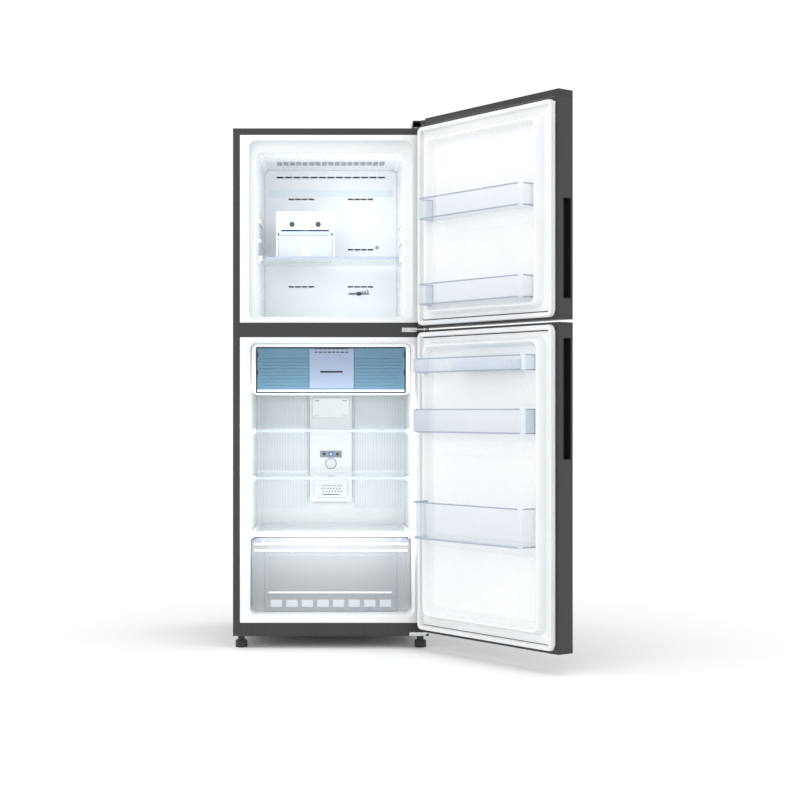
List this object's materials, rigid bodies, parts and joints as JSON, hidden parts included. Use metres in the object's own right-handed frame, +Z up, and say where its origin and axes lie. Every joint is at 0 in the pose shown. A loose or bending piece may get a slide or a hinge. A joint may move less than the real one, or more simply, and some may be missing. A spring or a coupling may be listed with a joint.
{
  "type": "top freezer refrigerator",
  "caption": "Tall two-door refrigerator with the freezer on top, drawn with both doors open, with shelves, drawers, door shelves, hinges, feet and rear rollers.",
  "frame": {"origin": "on the floor under the middle of the cabinet", "axes": "+Z up, the front faces -Y, +X towards the hinge side"},
  "size_m": [0.8789, 1.0333, 1.467],
  "materials": {
    "dark_steel": "satin",
    "galvanised_steel": "satin",
    "bright_zinc": "gloss",
    "insulating_foam": "matte",
    "white_abs": "satin",
    "lamp_diffuser": "satin",
    "clear_plastic": "gloss",
    "milky_plastic": "satin",
    "ice_tray_plastic": "satin",
    "smoke_blue_plastic": "gloss",
    "shelf_glass": "gloss",
    "black_plastic": "satin",
    "compressor_enamel": "gloss",
    "black_rubber": "matte",
    "copper_tube": "satin",
    "seal_vinyl": "matte"
  },
  "bodies": {
    "cabinet": {"cabinet_shell": "dark_steel", "back_panel": "dark_steel", "base_pan": "galvanised_steel", "compressor_deck": "galvanised_steel", "cabinet_foam": "insulating_foam", "freezer_liner": "white_abs", "fridge_liner": "white_abs", "mullion_cover": "dark_steel", "plinth_cover": "dark_steel", "freezer_air_panel": "white_abs", "fridge_duct_cover": "white_abs", "lamp_cover": "lamp_diffuser", "vent_cover": "white_abs", "evaporator": "galvanised_steel", "defrost_heater": "copper_tube", "fan_motor": "galvanised_steel", "compressor": "compressor_enamel", "compressor_mounts": "black_rubber", "refrigerant_pipes": "copper_tube", "evaporating_tray": "black_plastic", "compressor_cover": "black_plastic", "mains_inlet": "black_plastic", "top_hinge": "bright_zinc", "top_hinge_cover": "black_plastic", "middle_hinge": "bright_zinc", "bottom_hinge": "bright_zinc", "hinge_screws": "bright_zinc", "freezer_shelf": "shelf_glass", "fridge_shelves": "shelf_glass", "shelf_trims": "white_abs", "crisper_cover": "white_abs", "crisper_glass": "shelf_glass", "chiller_frame": "white_abs", "ice_maker_frame": "white_abs", "roller_axles": "galvanised_steel"},
    "freezer_door": {"freezer_door_skin": "dark_steel", "freezer_door_liner": "white_abs", "freezer_door_foam": "insulating_foam", "freezer_door_trim": "black_plastic", "freezer_gasket": "seal_vinyl", "freezer_pockets": "clear_plastic"},
    "fridge_door": {"fridge_door_skin": "dark_steel", "fridge_door_liner": "white_abs", "fridge_door_foam": "insulating_foam", "fridge_door_trim": "black_plastic", "fridge_gasket": "seal_vinyl", "fridge_pockets": "clear_plastic", "egg_tray": "milky_plastic"},
    "fan_blade_body": {"fan_blade": "white_abs"},
    "ice_tray_left_body": {"ice_tray_left": "ice_tray_plastic"},
    "ice_tray_right_body": {"ice_tray_right": "ice_tray_plastic"},
    "ice_box_body": {"ice_box": "clear_plastic"},
    "crisper_drawer_body": {"crisper_drawer": "clear_plastic"},
    "chiller_drawer_body": {"chiller_drawer": "smoke_blue_plastic"},
    "temperature_dial_body": {"temperature_dial": "white_abs"},
    "airflow_slider_body": {"airflow_slider": "black_plastic"},
    "foot_left_body": {"foot_left": "black_rubber"},
    "foot_right_body": {"foot_right": "black_rubber"},
    "roller_left_body": {"roller_left": "black_rubber"},
    "roller_right_body": {"roller_right": "black_rubber"}
  },
  "joints": [
    {"name": "freezer_door_hinge", "type": "hinge", "parent": "cabinet", "child": "freezer_door", "pos_m": [0.2605, -0.314, 1.176], "axis": [0, 0, 1], "range_deg": [-127, 8]},
    {"name": "fridge_door_hinge", "type": "hinge", "parent": "cabinet", "child": "fridge_door", "pos_m": [0.2605, -0.314, 0.467], "axis": [0, 0, 1], "range_deg": [-127, 8]},
    {"name": "crisper_drawer_slide", "type": "slide", "parent": "cabinet", "child": "crisper_drawer_body", "axis": [0, -1, 0], "range_m": [0, 0.24]},
    {"name": "chiller_drawer_slide", "type": "slide", "parent": "cabinet", "child": "chiller_drawer_body", "axis": [0, -1, 0], "range_m": [0, 0.25]},
    {"name": "ice_box_slide", "type": "slide", "parent": "cabinet", "child": "ice_box_body", "axis": [0, -1, 0], "range_m": [0, 0.14]},
    {"name": "ice_tray_left_twist", "type": "hinge", "parent": "cabinet", "child": "ice_tray_left_body", "pos_m": [-0.11, -0.1055, 1.19104], "axis": [0, 1, 0], "range_deg": [0, 120], "stiffness_Nm_per_rad": 0.08},
    {"name": "ice_tray_right_twist", "type": "hinge", "parent": "cabinet", "child": "ice_tray_right_body", "pos_m": [-0.036, -0.1055, 1.19104], "axis": [0, 1, 0], "range_deg": [0, 120], "stiffness_Nm_per_rad": 0.08},
    {"name": "temperature_dial_turn", "type": "hinge", "parent": "cabinet", "child": "temperature_dial_body", "pos_m": [0, 0.1675, 0.49903], "axis": [0, 1, 0], "range_deg": [-120, 120]},
    {"name": "airflow_slider_slide", "type": "slide", "parent": "cabinet", "child": "airflow_slider_body", "axis": [1, 0, 0], "range_m": [-0.024, 0.024]},
    {"name": "fan_spin", "type": "hinge", "parent": "cabinet", "child": "fan_blade_body", "pos_m": [0, 0.1115, 1.2835], "axis": [0, 1, 0], "continuous": true},
    {"name": "foot_left_turn", "type": "hinge", "parent": "cabinet", "child": "foot_left_body", "pos_m": [-0.2505, -0.2525, 0.01], "axis": [0, 0, 1], "continuous": true},
    {"name": "foot_right_turn", "type": "hinge", "parent": "cabinet", "child": "foot_right_body", "pos_m": [0.2505, -0.2525, 0.01], "axis": [0, 0, 1], "continuous": true},
    {"name": "roller_left_spin", "type": "hinge", "parent": "cabinet", "child": "roller_left_body", "pos_m": [-0.2325, 0.2405, 0.016], "axis": [1, 0, 0], "continuous": true},
    {"name": "roller_right_spin", "type": "hinge", "parent": "cabinet", "child": "roller_right_body", "pos_m": [0.2325, 0.2405, 0.016], "axis": [1, 0, 0], "continuous": true}
  ]
}
